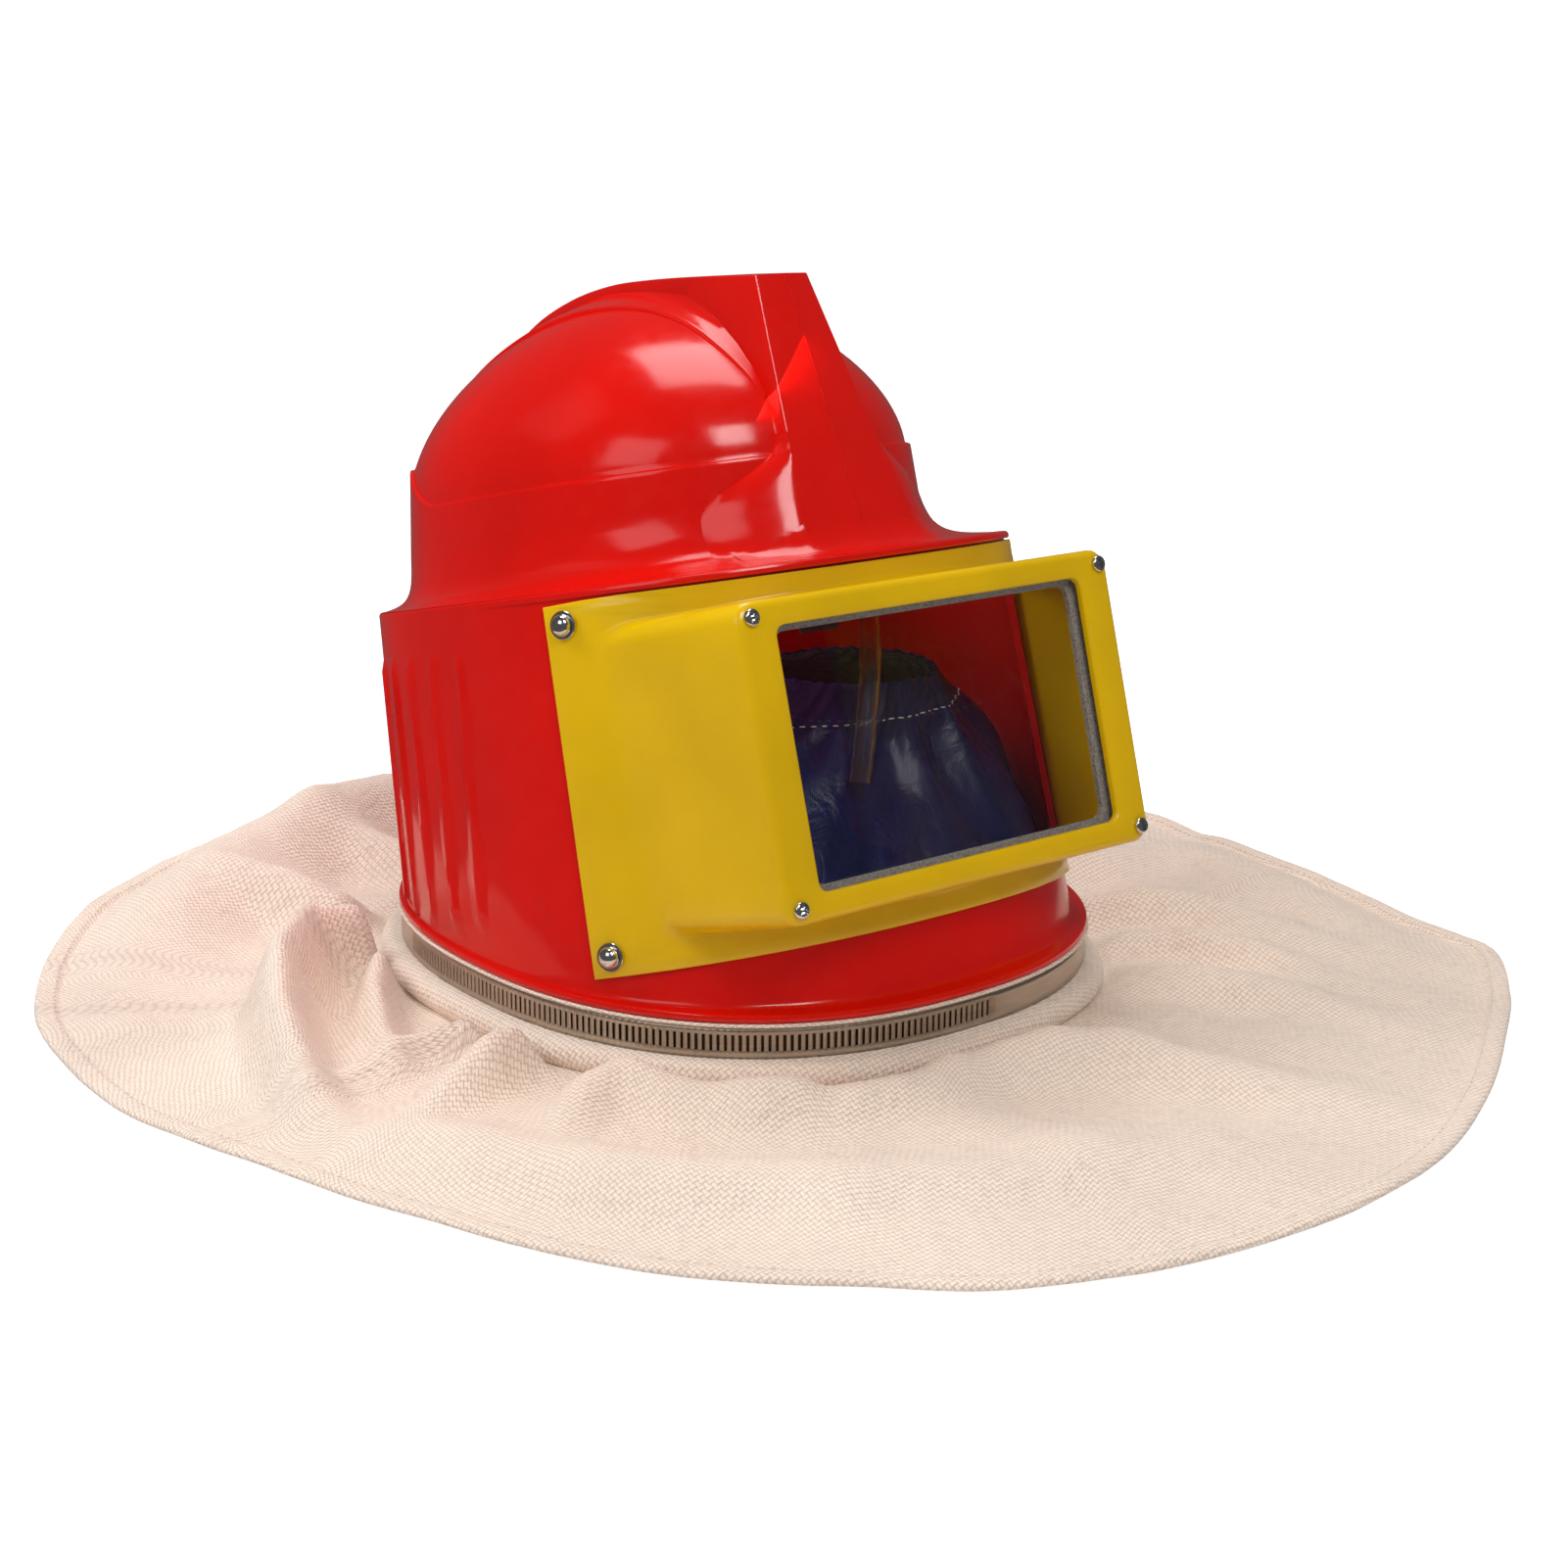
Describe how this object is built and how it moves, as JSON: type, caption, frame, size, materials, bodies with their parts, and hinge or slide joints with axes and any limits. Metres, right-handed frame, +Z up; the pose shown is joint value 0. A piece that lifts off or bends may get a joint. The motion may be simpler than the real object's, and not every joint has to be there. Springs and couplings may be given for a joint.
{
  "type": "sandblasting hood",
  "caption": "Moulded work hood with a crest, a glazed window box, a clamped canvas shoulder cape and a gathered neck seal, lying on its spread cape.",
  "frame": {"origin": "centre of the whole hood's footprint, on the surface it lies on", "axes": "+Z up, -Y out of the window, +X to the right as seen from the front"},
  "size_m": [0.6628, 0.7372, 0.3381],
  "materials": {
    "shell_plastic": "smooth moulded, glossy",
    "frame_plastic": "smooth moulded, glossy",
    "window_glass": "clear, polished",
    "gasket_rubber": "matt",
    "inner_plastic": "moulded, satin",
    "screw_metal": "bright plated",
    "band_steel": "rolled strip, satin",
    "canvas": "undyed plain-weave canvas",
    "nylon": "thin woven nylon with a soft sheen",
    "clear_tube": "clear soft tube",
    "webbing": "woven webbing"
  },
  "bodies": {
    "root": {"shell": "shell_plastic", "visor_frame": "frame_plastic", "lens": "window_glass", "lens_gasket": "gasket_rubber", "lens_clamp": "inner_plastic", "face_screw_1": "screw_metal", "face_screw_2": "screw_metal", "face_screw_3": "screw_metal", "face_screw_4": "screw_metal", "dome_bolt_1": "screw_metal", "bolt_washer_1": "screw_metal", "dome_bolt_2": "screw_metal", "bolt_washer_2": "screw_metal", "dome_bolt_3": "screw_metal", "bolt_washer_3": "screw_metal", "dome_bolt_4": "screw_metal", "bolt_washer_4": "screw_metal", "clamp_band": "band_steel", "band_screw": "band_steel", "cape": "canvas", "neck_seal": "nylon", "air_tube": "clear_tube", "tube_socket": "inner_plastic", "harness_strap": "webbing"}
  },
  "joints": []
}
